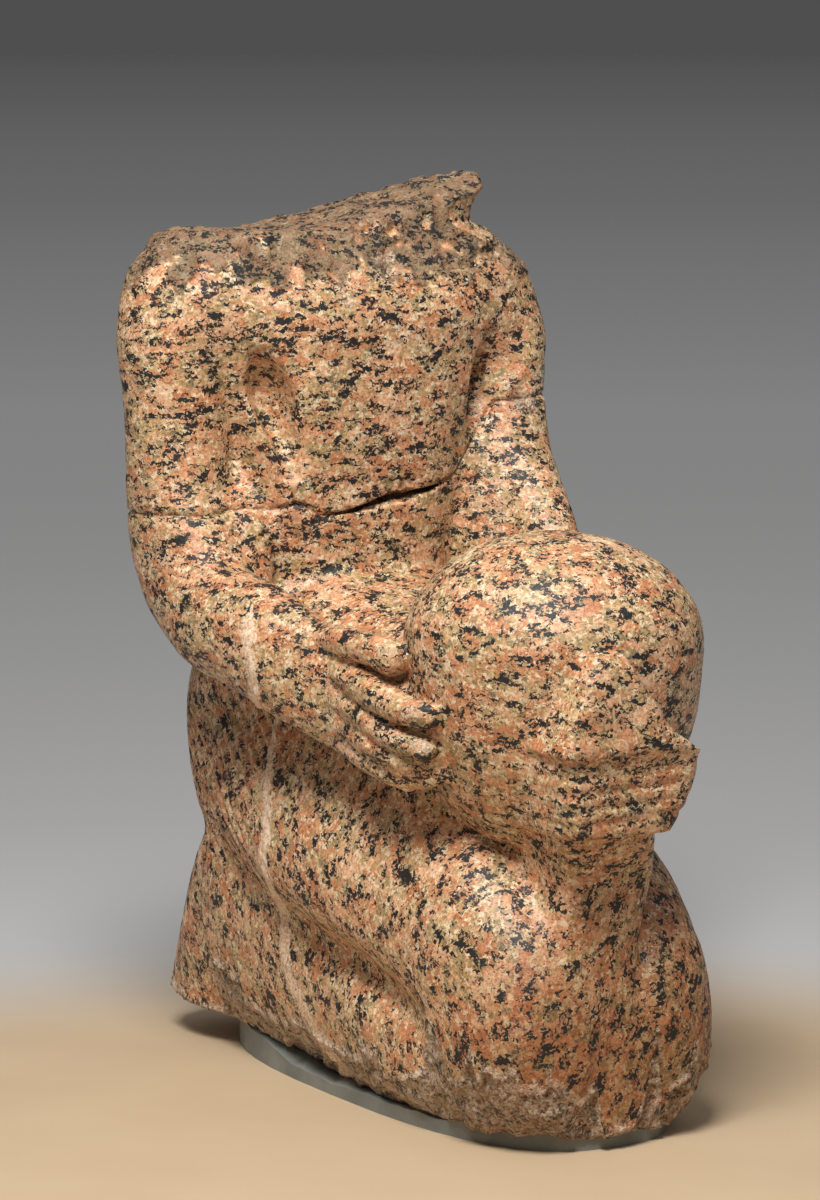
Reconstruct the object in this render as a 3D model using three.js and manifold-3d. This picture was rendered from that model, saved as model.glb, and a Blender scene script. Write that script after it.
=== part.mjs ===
import * as THREE from 'three';
import { LoftGeometry } from 'three/addons/geometries/LoftGeometry.js';
import { ImprovedNoise } from 'three/addons/math/ImprovedNoise.js';
import { MarchingCubes } from 'three/addons/objects/MarchingCubes.js';
import { mergeVertices } from 'three/addons/utils/BufferGeometryUtils.js';
import Module from 'manifold-3d';

// A kneeling king with a round jar on the lap, carved in one piece of granite. The head, the top of
// the right shoulder and the underside are broken away. It stands on a low grey pad.
// Millimetres, +Z up. The figure faces -Y, its left side is +X, and z = 0 is the pad's flat underside.

// Driving dimensions
const figureHeight = 600;      // pad's underside to the top of the broken headdress
const padThickness = 10;       // under the knees, where the stone comes lowest
const padInset = 6;            // the pad's wall stands back from the stone's lower edge
const padShortBehind = 42;     // the stone runs on behind the pad by this much
const seatGap = 0.4;           // between the pad and the stone
const crackWidth = 2.4;        // open joint of the old break at the waist
const crackDepth = 6;
const crackOpening = 7;        // added where it gapes, in front of the belly
const barCount = 5;            // raised bars across the pillar's head
const barGroove = 2.4;         // depth of the grooves between them
const fingerCount = 4;

// The figure's pose and carving are drawn for a figure 600 high, and all follow its height.
const drawnHeight = 600;
const unit = figureHeight / drawnHeight;

// The stone is followed in steps of this size, a little finer on a smaller figure.
const facet = 21.5;
const coreFacet = 26;

const wasm = await Module();
wasm.setup();
const noise = new ImprovedNoise();

// Solids from geometries

function solid(geometry) {
  const plain = new THREE.BufferGeometry();
  plain.setAttribute('position', geometry.attributes.position);
  plain.setIndex(geometry.index);
  const merged = mergeVertices(plain, 1e-3);
  return new wasm.Manifold(new wasm.Mesh({
    numProp: 3,
    vertProperties: merged.attributes.position.array,
    triVerts: new Uint32Array(merged.index.array),
  }));
}

function geometryOf(body) {
  const mesh = body.getMesh();
  const geometry = new THREE.BufferGeometry();
  geometry.setAttribute('position', new THREE.BufferAttribute(new Float32Array(mesh.vertProperties), 3));
  geometry.setIndex(new THREE.BufferAttribute(new Uint32Array(mesh.triVerts), 1));
  const flat = geometry.toNonIndexed();
  flat.computeVertexNormals();
  return flat;
}

function union(bodies) {
  return bodies.reduce((whole, body) => whole.add(body));
}

function ramp(from, to, value) {
  return THREE.MathUtils.smoothstep(value, from, to);
}

// Forms of the figure. Each is a row of stations, sections that follow one another along an axis
// and are joined by a smooth curve. A form answers with the distance to its skin, less than zero
// inside, so that neighbouring forms can run into each other as carved stone does.

// How far a point of the section's plane lies outside a rounded section of these half sizes.
function outsideOval(across, rise, half, reach, power) {
  const a = Math.abs(across) / half;
  const b = Math.abs(rise) / reach;
  const q = Math.max((a ** power + b ** power) ** (1 / power), 1e-6);
  const slopeA = (a / q) ** (power - 1) / half;
  const slopeB = (b / q) ** (power - 1) / reach;
  return (q - 1) / Math.hypot(slopeA, slopeB);
}

function closed(side, along, first, last) {
  const past = Math.max(first - along, along - last);
  if (side > 0 && past > 0) return Math.hypot(side, past);
  return Math.max(side, past);
}

// Level sections. Each station: [z, x, y, half width, front, back, power]
function upright(stations) {
  const curve = new THREE.CubicInterpolant(stations.map((row) => row[0]), stations.flat(), 7);
  const first = stations[0][0];
  const last = stations[stations.length - 1][0];
  return (x, y, z) => {
    const [, cx, cy, half, front, back, power] = curve.evaluate(THREE.MathUtils.clamp(z, first, last));
    return closed(outsideOval(x - cx, y - cy, half, y < cy ? front : back, power), z, first, last);
  };
}

// Sections that face the front. Each station: [distance forward, x, z, half width, down, up, power]
function forward(stations) {
  const curve = new THREE.CubicInterpolant(stations.map((row) => row[0]), stations.flat(), 7);
  const first = stations[0][0];
  const last = stations[stations.length - 1][0];
  return (x, y, z) => {
    const [, cx, cz, half, down, up, power] = curve.evaluate(THREE.MathUtils.clamp(-y, first, last));
    return closed(outsideOval(x - cx, z - cz, half, z < cz ? down : up, power), -y, first, last);
  };
}

// Two forms run together over this radius.
function blend(a, b, radius) {
  const near = Math.max(radius - Math.abs(a - b), 0) / radius;
  return Math.min(a, b) - near * near * radius * 0.25;
}

// One form hollows out another.
function hollow(a, b, radius) {
  return -blend(-a, b, radius);
}

// Torso and hips

const torsoY = 130;
const torso = upright([
  [120, 0, 146, 70, 60, 44, 2.3],
  [168, 0, 146, 90, 76, 62, 2.4],
  [205, 0, 146, 96, 80, 74, 2.4],
  [246, 0, 146, 97, 80, 76, 2.4],
  [290, 0, 139, 90, 72, 72, 2.4],
  [330, 0, 134, 85, 66, 68, 2.4],
  [372, 0, 131, 83, 64, 66, 2.8],
  [420, 0, 130, 90, 66, 70, 3],
  [470, 0, 130, 102, 69, 75, 3],
  [515, 0, 130, 112, 66, 77, 2.8],
  [550, 0, 131, 112, 56, 70, 2.5],
  [580, 0, 133, 90, 46, 58, 2.2],
  [640, 0, 133, 64, 42, 52, 2.2],
]);

// Arms. Each shoulder and upper arm hangs beside the torso, and the forearm comes forward from
// the elbow to the jar. The crook of the elbow is left filled with stone, more so on the left.
const shoulder = (lift, crook) => upright([
  [308, 119, 120, 18, 24, 10, 2.1],
  [324, 120, 126, 26, 42 + crook * 0.3, 20, 2.1],
  [345, 122, 130, 31, 62 + crook * 1.5, 29, 2.2],
  [368, 123, 131, 33, 54 + crook * 1.5, 31, 2.3],
  [395, 124, 132, 33, 42 + crook * 1.25, 31, 2.3],
  [420, 124, 132, 34, 38 + crook * 0.85, 31, 2.2],
  [460, 125, 132, 35, 38 + crook * 0.55, 32, 2.1],
  [500, 127, 132, 37, 40 + crook * 0.24, 35, 2.1],
  [527 + lift * 0.5, 119, 132, 40, 39, 39, 2.1],
  [548 + lift, 107, 132, 40, 35, 38, 2.1],
  [560 + lift, 97, 132, 37, 29, 34, 2.1],
  [570 + lift, 88, 132, 32, 21, 28, 2.1],
  [577 + lift, 78, 132, 20, 12, 18, 2.1],
]);
const leftShoulder = shoulder(0, 36);
const rightShoulder = shoulder(8, 0);

// The wrist and the palm lie against the side of the jar, and their places are taken from it.
const jarY = -154;
const jarRadius = 97;
const jarMiddle = 318;         // height where it is widest
const jarSeat = 190;           // height of the lap under it
const jarDome = 71;
const jarDepth = jarMiddle - jarSeat;
const jarFootRadius = 50;
const jarSteps = 7;

// A place this far behind the jar's axis, out from its side and below its widest level.
function besideJar(behind, out, below) {
  return [jarRadius + out, jarY + behind, jarMiddle - below];
}

// A forward station at such a place.
function armStation(behind, out, below, ...section) {
  const [x, y, z] = besideJar(behind, out, below);
  return [-y, x, z, ...section];
}

const forearm = forward([
  [-147, 119, 328, 10, 10, 12, 2],
  [-142, 119, 329, 18, 14, 20, 2],
  [-130, 120, 328, 25, 22, 26, 2.1],
  [-112, 121, 323, 30, 29, 32, 2.2],
  [-80, 122, 315, 33, 36, 37, 2.2],
  [-40, 118, 308, 32, 38, 38, 2.2],
  [8, 112, 296, 28, 39, 39, 2.3],
  armStation(106, 9, 35, 21, 40, 42, 2.4),
  armStation(72, 1, 45, 20, 44, 42, 2.4),
  armStation(44, -5, 52, 19, 42, 38, 2.3),
  armStation(22, -9, 56, 15, 32, 32, 2.2),
]);

// The palm and the stone behind the fingers.
const palm = forward([
  armStation(104, -7, 40, 18, 26, 28, 2.4),
  armStation(84, -8, 40, 24, 30, 30, 2.6),
  armStation(54, -6, 42, 22, 33, 34, 2.6),
  armStation(16, -4, 50, 14, 34, 32, 2.8),
  armStation(-11, -10, 56, 13, 31, 30, 2.6),
  armStation(-22, -16, 58, 9, 26, 26, 2.4),
]);

// Legs, folded under the body. The thighs slope down to the knees over the calves, which rise
// to the heels behind.
const thigh = forward([
  [-150, 50, 205, 44, 46, 40, 2.4],
  [-110, 51, 200, 49, 61, 46, 2.5],
  [-50, 51, 190, 50, 67, 48, 2.5],
  [10, 51, 176, 50, 61, 48, 2.5],
  [70, 51, 158, 49, 62, 48, 2.5],
  [125, 49, 134, 48, 66, 63, 2.6],
  [165, 46, 106, 49, 76, 84, 2.6],
  [198, 42, 80, 46, 76, 84, 2.4],
  [222, 40, 68, 38, 62, 66, 2.2],
  [234, 39, 64, 24, 44, 42, 2],
  [239, 38, 62, 10, 20, 18, 2],
]);
const calf = forward([
  [-205, 47, 60, 30, 62, 28, 2.4],
  [-190, 48, 70, 38, 72, 46, 2.4],
  [-150, 50, 92, 42, 80, 60, 2.4],
  [-100, 52, 88, 43, 80, 50, 2.4],
  [-30, 52, 78, 44, 70, 44, 2.4],
  [50, 52, 62, 45, 60, 38, 2.4],
  [120, 50, 50, 45, 50, 34, 2.4],
  [200, 46, 48, 38, 46, 46, 2.4],
]);
const foot = upright([
  [-4, 46, 190, 44, 50, 50, 2.5],
  [38, 46, 188, 43, 50, 49, 2.5],
  [75, 47, 176, 42, 50, 47, 2.5],
  [122, 47, 164, 40, 50, 42, 2.4],
  [150, 47, 156, 36, 46, 32, 2.3],
  [170, 47, 148, 26, 38, 18, 2.2],
]);

// The stone left standing between the legs, the arms and the jar.
const lap = forward([
  [-190, 0, 150, 40, 150, 20, 3],
  [-150, 0, 150, 84, 150, 60, 3],
  [-100, 0, 200, 91, 200, 140, 3],
  [-70, 0, 200, 93, 200, 140, 3],
  [-30, 0, 200, 93, 200, 130, 3],
  [10, 0, 200, 92, 200, 122, 3],
  [60, 0, 190, 88, 190, 128, 3],
  [95, 0, 170, 82, 170, 110, 3],
  [130, 0, 140, 76, 140, 80, 2.8],
  [175, 0, 110, 62, 110, 66, 2.6],
  [208, 0, 90, 40, 90, 70, 2.4],
]);

// The jar: round, widest above its middle, closed above by a low dome.
function jarStations() {
  const rows = [];
  for (let i = -jarSteps; i <= jarSteps; i += 1) {
    const angle = (i / jarSteps) * (Math.PI / 2);
    const rise = i < 0 ? jarDepth * Math.sin(angle) : jarDome * Math.sin(angle);
    const least = i < 0 ? jarFootRadius : 2;
    const radius = Math.max(least + (jarRadius - least) * Math.cos(angle), 2);
    rows.push([jarMiddle + rise, 0, jarY, radius, radius, radius, 2]);
  }
  return rows;
}
const jar = upright(jarStations());

// The pillar in front of the jar stands between the knees.
const pillarHalf = 53;
const pillarProud = 5;         // its face stands this far in front of the jar's belly
const pillarBite = 11;         // its back runs into the jar, up to this far from the jar's axis
const pillarFront = jarY - jarRadius - pillarProud;
const pillarBack = jarY - pillarBite;
const headLow = 207;
const headHigh = 257;
const headTaper = 0.26;        // the lowest bar is narrower by this share
const headShift = 3.5;         // the head stands off the mid-plane, to the figure's right

// A level of the pillar with its face this far behind the front.
const pillarLevel = (z, x, half, behind, power) => {
  const front = pillarFront + behind;
  const reach = (pillarBack - front) / 2;
  return [z, x, front + reach, half, reach, reach, power];
};
const shaft = upright([
  pillarLevel(0, 0, 46, 19, 3),
  pillarLevel(60, 0, 44, 25, 3),
  pillarLevel(100, 0, 36, 38, 3),
  pillarLevel(145, 0, 34, 40, 3),
  pillarLevel(175, -2, 35, 28, 3),
  pillarLevel(212, -8, 36, 12, 3.5),
]);

// The stump of the headdress behind the shoulders flares as it rises.
const headdress = upright([
  [540, 0, torsoY + 4, 86, 38, 60, 3],
  [578, 0, torsoY + 4, 102, 42, 62, 3],
  [612, 0, torsoY + 4, 121, 44, 64, 3],
  [660, 0, torsoY + 4, 136, 48, 66, 3],
]);

// The armpits are deep hollows between the chest and each arm.
const armpit = upright([
  [372, 90, 62, 6, 8, 8, 2],
  [405, 87, 62, 8, 12, 12, 2],
  [440, 85, 62, 10, 16, 16, 2],
  [470, 90, 62, 9, 13, 13, 2],
  [492, 96, 60, 4, 6, 6, 2],
]);

// The furrow of the spine, deepest between the shoulder blades.
function furrow(x, y, z) {
  if (y < torsoY) return 0;
  return 6 * Math.exp(-((x / 13) ** 2)) * ramp(250, 330, z) * (1 - ramp(540, 580, z));
}

function stone(x, y, z) {
  const side = Math.abs(x);
  const shoulders = x < 0 ? rightShoulder : leftShoulder;
  const lower = blend(forearm(side, y, z), palm(side, y, z), 10);
  const arm = blend(shoulders(side, y, z), lower, 16);
  let d = blend(torso(x, y, z) + furrow(x, y, z), arm, 14 + 40 * ramp(455, 530, z));
  d = hollow(d, armpit(side, y, z), 12);
  d = blend(d, headdress(x, y, z), 4);
  let leg = blend(thigh(side, y, z), calf(side, y, z), 10);
  leg = blend(leg, foot(side, y, z), 12);
  leg = blend(leg, lap(x, y, z), 14);
  d = blend(d, leg, 16);
  d = blend(d, jar(x, y, z), 10);
  return blend(d, shaft(x, y, z), 8);
}

// The skin of the stone at this depth below its surface, as one closed surface of small facets.
// Its points are drawn onto the skin itself, so that edges and hollows keep their place.
function skin(depth, room, cell) {
  const { min: low, max: high } = room;
  const size = new THREE.Vector3().subVectors(high, low);
  const count = Math.ceil(Math.max(size.x, size.y, size.z) / cell) + 4;
  const centre = new THREE.Vector3().addVectors(low, high).multiplyScalar(0.5);
  const half = count / 2;
  const inside = (x, y, z) => {
    const wall = Math.max(low.x - x, x - high.x, low.y - y, y - high.y, low.z - z, z - high.z);
    return Math.max(stone(x, y, z) + depth, wall);
  };
  const cubes = new MarchingCubes(count, new THREE.MeshBasicMaterial(), false, false, 40000);
  cubes.isolation = 0;
  for (let k = 0; k < count; k += 1) {
    for (let j = 0; j < count; j += 1) {
      for (let i = 0; i < count; i += 1) {
        const x = centre.x + (i - half) * cell;
        const y = centre.y + (j - half) * cell;
        const z = centre.z + (k - half) * cell;
        cubes.setCell(i, j, k, -inside(x, y, z));
      }
    }
  }
  cubes.update();
  const faces = new THREE.BufferGeometry();
  const points = cubes.positionArray.slice(0, cubes.count * 3).map((value) => value * half * cell);
  faces.setAttribute('position', new THREE.BufferAttribute(points, 3));
  const merged = mergeVertices(faces, 1e-2);
  const place = merged.attributes.position;
  const point = new THREE.Vector3();
  for (let i = 0; i < place.count; i += 1) {
    point.fromBufferAttribute(place, i).add(centre);
    for (let pass = 0; pass < 3; pass += 1) draw(point, inside);
    place.setXYZ(i, point.x * unit, point.y * unit, point.z * unit);
  }
  const index = merged.index.array;
  const kept = [];
  for (let i = 0; i < index.length; i += 3) {
    const [a, b, c] = [index[i], index[i + 1], index[i + 2]];
    if (a !== b && b !== c && c !== a) kept.push(a, b, c);
  }
  return new wasm.Manifold(new wasm.Mesh({
    numProp: 3,
    vertProperties: place.array,
    triVerts: new Uint32Array(kept),
  }));
}

// Moves a point a little way towards the surface where the distance is nothing.
function draw(point, distance) {
  const step = 0.5;
  const { x, y, z } = point;
  const here = distance(x, y, z);
  const slope = new THREE.Vector3(
    distance(x + step, y, z) - distance(x - step, y, z),
    distance(x, y + step, z) - distance(x, y - step, z),
    distance(x, y, z + step) - distance(x, y, z - step),
  ).divideScalar(2 * step);
  const steep = Math.max(slope.lengthSq(), 0.3);
  point.addScaledVector(slope, THREE.MathUtils.clamp(-here / steep, -3, 3));
}

// One ring of a section.
function ring(sides, half, front, back, power) {
  const points = [];
  for (let i = 0; i < sides; i += 1) {
    const angle = (i / sides) * 2 * Math.PI;
    const c = Math.cos(angle);
    const s = Math.sin(angle);
    points.push([
      Math.sign(c) * Math.abs(c) ** (2 / power) * half,
      Math.sign(s) * Math.abs(s) ** (2 / power) * (s < 0 ? front : back),
    ]);
  }
  return points;
}

// A form with crisp edges, built of level rings. Each row: [z, x, y, half width, front, back, power]
function levels(rows, sides) {
  const sections = rows.map(([z, x, y, half, front, back, power]) =>
    ring(sides, half, front, back, power).map(([across, along]) =>
      new THREE.Vector3(x + across, y + along, z).multiplyScalar(unit)));
  return solid(new LoftGeometry(sections, { capStart: true, capEnd: true }));
}

// A finger: round sections along a smooth path, closed by a rounded tip.
// Each station: [x, y, z, radius]
function finger(stations, mirror) {
  const sides = 8;
  const path = new THREE.CatmullRomCurve3(stations.map(([x, y, z]) => new THREE.Vector3(x, y, z)));
  const places = stations.map((row, i) => [i / (stations.length - 1), row[3], 0]);
  const last = stations[stations.length - 1][3];
  [0.6, 0.95].forEach((share) => places.push([1, last * Math.sqrt(1 - share * share), share * last]));
  const sections = places.map(([t, radius, beyond]) => {
    const along = path.getTangent(t);
    const side = new THREE.Vector3(1, 0, 0).addScaledVector(along, -along.x).normalize();
    const rise = new THREE.Vector3().crossVectors(along, side);
    const centre = path.getPoint(t).addScaledVector(along, beyond);
    const points = ring(sides, radius, radius, radius, 2).map(([a, b]) => {
      const point = centre.clone().addScaledVector(side, a).addScaledVector(rise, b);
      point.x *= mirror;
      return point.multiplyScalar(unit);
    });
    return mirror > 0 ? points : points.reverse();
  });
  return solid(new LoftGeometry(sections, { capStart: true, capEnd: true }));
}

// Four fingers run down and forward over the side of the jar, and the thumb lies above them.
function hand(mirror) {
  const bodies = [];
  for (let i = 0; i < fingerCount; i += 1) {
    const share = i / (fingerCount - 1);
    const between = (first, last) => THREE.MathUtils.lerp(first, last, share);
    bodies.push(finger([
      [...besideJar(between(92, 110), 9, between(12, 62)), 9],
      [...besideJar(between(54, 64), 11, between(18, 68)), 10.5],
      [...besideJar(between(16, 24), 9, between(27, 77)), 10.5],
      [...besideJar(-between(18, 8), 1, between(37, 84)), 9],
    ], mirror));
  }
  bodies.push(finger([
    [...besideJar(120, 7, 6), 10],
    [...besideJar(88, 9, 3), 11],
    [...besideJar(56, 4, 4), 10],
    [...besideJar(32, -3, 6), 11],
  ], mirror));
  return union(bodies);
}

// The pillar's head: raised bars, narrower below, and above them a face that runs up to the jar and
// narrows from the figure's left.
function pillarHead() {
  const rows = [];
  const bar = (headHigh - headLow) / barCount;
  for (let i = 0; i < barCount; i += 1) {
    const low = headLow + i * bar;
    const half = pillarHalf * (1 - headTaper * (1 - i / (barCount - 1)) ** 1.7);
    const x = -headShift - (pillarHalf - half) * 0.54;
    rows.push(pillarLevel(low, x, half - barGroove, barGroove, 6));
    rows.push(pillarLevel(low + bar * 0.3, x, half, 0, 6));
    rows.push(pillarLevel(low + bar * 0.85, x, half, 0, 6));
  }
  rows.push(pillarLevel(headHigh, -headShift, pillarHalf, 0, 6));
  [[0.3, -8, 0.8, 3, 5], [0.6, -12, 0.74, 6, 4], [0.82, -14, 0.6, 7, 3], [0.97, -14, 0.34, 9, 3]].forEach(
    ([share, shift, width, behind, power]) => {
      const z = THREE.MathUtils.lerp(headHigh, jarMiddle, share);
      rows.push(pillarLevel(z, shift - headShift, pillarHalf * width, behind, power));
    },
  );
  return levels(rows, 20);
}

// Broken faces

// The rough face of broken granite: lumps of two sizes.
function rough(x, y, seed, lump, height) {
  const coarse = noise.noise(x / lump, y / lump, seed);
  const fine = noise.noise((x * 2.7) / lump, (y * 2.7) / lump, seed + 9.5);
  return height * (coarse + 0.5 * fine);
}

// The top is gone along one tilted face that rises towards the left shoulder and dips in front.
const breakHeight = 583;       // over the figure's middle
const breakFloor = 573;        // it comes no lower than this in front

function topBreak(x, y) {
  const face = breakHeight - 2 + 0.25 * x;
  const front = breakHeight - 3 + 0.75 * (y - (torsoY - 50));
  return Math.max(Math.min(face, front), breakFloor) + rough(x, y, 3.1, 26, 4);
}

// The underside is gone too: lowest under the knees, and higher towards the heels.
function underside(x, y) {
  const rise = 13 * ramp(-20, 180, y) + 15 * ramp(170, 240, y);
  return padThickness / unit + rise + rough(x, y, 7.7, 34, 5);
}

// The old break across the waist rises to the left arm.
function crack(x, y) {
  const climb = 10 * ramp(20, 80, x) + 48 * ramp(78, 135, x);
  return 383 + climb + rough(x, y, 5.2, 30, 4) - 4 * Math.exp(-(((x + 26) / 14) ** 2));
}

function gap(x, y) {
  const open = Math.max(0, 1 - ((x - 12) / 46) ** 2) * (1 - ramp(70, 110, y));
  return (crackWidth + crackOpening * open) / unit;
}

// A slab between two surfaces given as heights over the plan, for cutting along a broken face.
function slab({ x, y, width, depth, cell, low, high }) {
  const across = Math.round(width / cell);
  const along = Math.round(depth / cell);
  const geometry = new THREE.BoxGeometry(width, depth, 1, across, along, 1);
  const place = geometry.attributes.position;
  for (let i = 0; i < place.count; i += 1) {
    const px = place.getX(i) + x;
    const py = place.getY(i) + y;
    const pz = place.getZ(i) < 0 ? low(px, py) : high(px, py);
    place.setXYZ(i, px * unit, py * unit, pz * unit);
  }
  return solid(geometry);
}

// Everything below the broken underside, less a gap. It cuts the stone and bounds the pad, so the
// two meet face to face.
function ground(gapBelow) {
  return slab({
    x: 0, y: 0, width: 260, depth: 560, cell: 20, low: () => -120, high: (x, y) => underside(x, y) - gapBelow,
  });
}

// Boxes that hold the whole figure, and the part of it around the waist.
const roomHalf = 190;          // from the mid-plane to their sides
const roomBack = 260;
const roomTop = 640;
const roomFloor = -20;
const roomFront = pillarFront - 14;
const figureRoom = new THREE.Box3(
  new THREE.Vector3(-roomHalf, roomFront, roomFloor),
  new THREE.Vector3(roomHalf, roomBack, roomTop),
);
const waistRoom = new THREE.Box3(
  new THREE.Vector3(-roomHalf, -60, 340),
  new THREE.Vector3(roomHalf, roomBack, 480),
);

function statueSolid() {
  const body = skin(0, figureRoom, facet);
  const whole = union([body, hand(-1), hand(1), pillarHead()]);
  const above = slab({
    x: 0,
    y: torsoY,
    width: roomHalf * 2.2,
    depth: 240,
    cell: 16,
    low: topBreak,
    high: () => roomTop * 1.2,
  });
  const joint = slab({
    x: 0,
    y: torsoY,
    width: roomHalf * 2,
    depth: 220,
    cell: 20,
    low: (x, y) => crack(x, y) - gap(x, y) / 2,
    high: (x, y) => crack(x, y) + gap(x, y) / 2,
  });
  const core = skin(crackDepth / unit, waistRoom, coreFacet);
  return whole.subtract(above).subtract(ground(0)).subtract(joint.subtract(core));
}

function padSolid() {
  const front = -238 + padInset / unit;
  const back = 236 - padShortBehind / unit;
  const half = 94 - padInset / unit;
  const reach = (back - front) / 2;
  const row = (z) => [z, 0, front + reach, half, reach, reach, 2.7];
  return levels([row(0), row(60)], 40).intersect(ground(seatGap / unit));
}

const granite = new THREE.MeshStandardMaterial({ color: 0xb98a6c, roughness: 0.55, metalness: 0 });
const padding = new THREE.MeshStandardMaterial({ color: 0x6f716f, roughness: 0.8, metalness: 0 });

function named(name, body, material) {
  const mesh = new THREE.Mesh(geometryOf(body), material);
  mesh.name = name;
  return mesh;
}

const part = new THREE.Group();
part.add(named('statue', statueSolid(), granite));
part.add(named('support_pad', padSolid(), padding));

export default part;
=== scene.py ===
"""A kneeling king with a round jar, a headless fragment carved in one block of red granite.

The stone's skin is drawn again from its forms at a fine step, with the fingers, the bars of the
pillar, the pleats of the kilt, the old break and the rough broken faces. It stands on a low grey pad.
Lengths in the forms are in millimetres of the drawing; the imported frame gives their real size.
"""

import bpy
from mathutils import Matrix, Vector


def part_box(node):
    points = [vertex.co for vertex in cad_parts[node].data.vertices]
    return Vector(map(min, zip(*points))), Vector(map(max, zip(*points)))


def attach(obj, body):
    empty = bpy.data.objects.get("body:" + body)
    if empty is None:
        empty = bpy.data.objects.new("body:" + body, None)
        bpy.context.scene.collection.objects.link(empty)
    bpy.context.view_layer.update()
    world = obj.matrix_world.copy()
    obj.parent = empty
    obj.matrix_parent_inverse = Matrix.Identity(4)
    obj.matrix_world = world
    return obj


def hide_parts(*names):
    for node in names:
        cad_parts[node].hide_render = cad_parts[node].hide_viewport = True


bl_info = {
    "name": "Kneeling King",
    "version": (1, 0, 0),
    "blender": (4, 5, 0),
    "location": "3D View > Sidebar > Kneeling King",
    "description": "Dresses the solids of a kneeling granite figure",
    "category": "Object",
}

from functools import partial

import bpy
import numpy as np
from bpy.props import FloatProperty, FloatVectorProperty, IntProperty, PointerProperty
from bpy.types import Operator, Panel, PropertyGroup
from mathutils import Vector
from mathutils.bvhtree import BVHTree

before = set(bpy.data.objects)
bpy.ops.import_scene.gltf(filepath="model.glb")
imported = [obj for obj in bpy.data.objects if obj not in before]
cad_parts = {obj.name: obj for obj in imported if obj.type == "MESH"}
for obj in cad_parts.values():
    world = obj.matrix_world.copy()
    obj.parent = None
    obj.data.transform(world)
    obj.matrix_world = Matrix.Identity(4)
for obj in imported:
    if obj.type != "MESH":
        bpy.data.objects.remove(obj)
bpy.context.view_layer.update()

MM = 0.001
DRAWN_TOP = 611.6   # highest point of the stone in the drawing
TORSO_Y = 130

# The camera, in metres and degrees; the two directions are level ones as it sees them.
CAMERA_TURN = 31.0
CAMERA_DOWN = 7.25
CAMERA_OFF = 3.0
CAMERA_ASIDE = 0.0535
CAMERA_HEIGHT = 0.695
CAMERA_LENS = 129.15
AHEAD = Vector((0.515, 0.857, 0.0))
RIGHT = Vector((0.857, -0.515, 0.0))
FLOOR_RADIUS = 1000.0


def linear(text):
    """The linear colour of an sRGB hex value."""
    parts = [int(text[i:i + 2], 16) / 255 for i in (1, 3, 5)]
    return tuple(c / 12.92 if c <= 0.04045 else ((c + 0.055) / 1.055) ** 2.4 for c in parts)


# Forms of the figure

TABLE_STEP = 0.25   # mm between the sections kept of each form


def lofted(rows):
    """Sections at even steps along a smooth curve through the stations."""
    rows = np.array(rows, float)
    at = rows[:, 0]
    secant = np.diff(rows, axis=0) / np.diff(at)[:, None]
    slope = np.vstack([secant[:1], (secant[1:] + secant[:-1]) / 2, secant[-1:]])
    steps = np.minimum(np.arange(at[0], at[-1] + TABLE_STEP, TABLE_STEP), at[-1])
    k = np.clip(np.searchsorted(at, steps, side="right") - 1, 0, len(at) - 2)
    h = (at[k + 1] - at[k])[:, None]
    s = (steps - at[k])[:, None] / h
    return (
        (1 + 2 * s) * (1 - s) ** 2 * rows[k]
        + s * (1 - s) ** 2 * h * slope[k]
        + s * s * (3 - 2 * s) * rows[k + 1]
        + s * s * (s - 1) * h * slope[k + 1]
    )


class Form:
    """Rounded sections along an axis. It answers with the distance to its skin, less than zero
    inside. Upright rows: z, x, y, half width, front, back, power. Forward rows: distance ahead,
    x, z, half width, down, up, power."""

    def __init__(self, rows, forward=False, reach=26.0):
        self.sections = lofted(rows)
        self.first, self.last = rows[0][0], rows[-1][0]
        self.forward, self.reach = forward, reach
        _, x, r, half, low, high, _ = self.sections.T
        self.sides = (x - half).min(), (x + half).max()
        self.rises = (r - low).min(), (r + high).max()

    def __call__(self, x, y, z):
        along, rise = (-y, z) if self.forward else (z, y)
        m = self.reach
        near = (
            (along > self.first - m) & (along < self.last + m)
            & (x > self.sides[0] - m) & (x < self.sides[1] + m)
            & (rise > self.rises[0] - m) & (rise < self.rises[1] + m)
        )
        out = np.full(x.shape, m)
        if not near.any():
            return out
        a, x, rise = along[near], x[near], rise[near]
        k = np.clip(((a - self.first) / TABLE_STEP + 0.5).astype(int), 0, len(self.sections) - 1)
        _, cx, cr, half, low, high, power = self.sections[k].T
        across = np.abs(x - cx) / half
        reach = np.where(rise < cr, low, high)
        lift = np.abs(rise - cr) / reach
        q = np.maximum((across ** power + lift ** power) ** (1 / power), 1e-6)
        steep = np.hypot((across / q) ** (power - 1) / half, (lift / q) ** (power - 1) / reach)
        side = (q - 1) / steep
        past = np.maximum(self.first - a, a - self.last)
        corner = np.hypot(side, past)
        out[near] = np.where((side > 0) & (past > 0), corner, np.maximum(side, past))
        return out


def blend(a, b, radius):
    """Two forms run together over this radius."""
    near = np.maximum(radius - np.abs(a - b), 0) / radius
    return np.minimum(a, b) - near * near * radius * 0.25


def hollow(a, b, radius):
    """One form hollows out another."""
    return -blend(-a, b, radius)


def ramp(low, high, value):
    s = np.clip((value - low) / (high - low), 0, 1)
    return s * s * (3 - 2 * s)


def bump(value, width):
    return np.exp(-((value / width) ** 2))


def distance_to(place, p):
    return np.linalg.norm(p - np.array(place), axis=1)


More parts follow.
